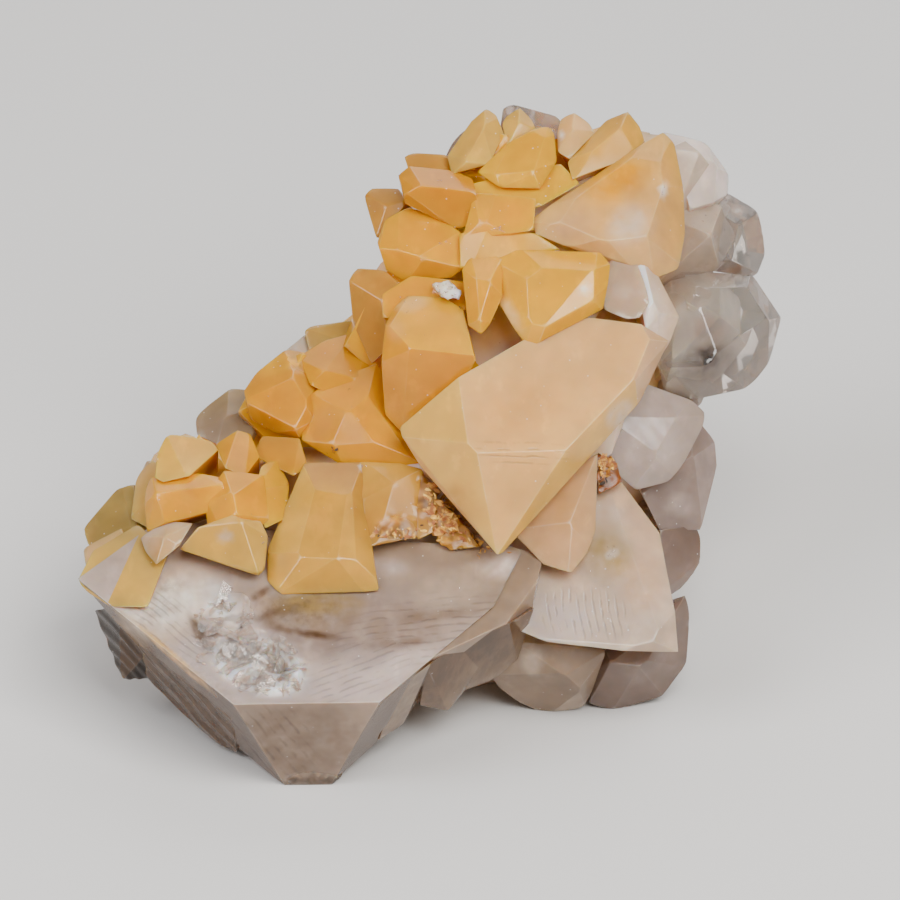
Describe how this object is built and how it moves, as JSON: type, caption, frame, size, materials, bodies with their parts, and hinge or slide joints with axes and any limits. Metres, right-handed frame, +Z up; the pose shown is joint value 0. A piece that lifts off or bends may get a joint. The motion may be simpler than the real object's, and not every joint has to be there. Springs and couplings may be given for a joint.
{
  "type": "yellow calcite cluster",
  "caption": "Hand-sized cluster of honey-yellow and colourless calcite crystals grown together, with a broad flat-topped prow in front and a flat base to stand on.",
  "frame": {"origin": "middle of the flat base that the cluster stands on", "axes": "+Z up out of the base, +Y from the prow towards the back, +X to the right as seen over the prow"},
  "size_m": [0.0702, 0.0615, 0.0497],
  "materials": {
    "yellow_calcite": "translucent honey-yellow crystal with glossy flat faces, paler at the tips",
    "colourless_calcite": "milky colourless crystal, glassy with white inner cracks",
    "rust_stain": "dull rust-brown iron stain in thin flakes"
  },
  "bodies": {
    "root": {"calcite_cluster": "yellow_calcite"}
  },
  "joints": []
}
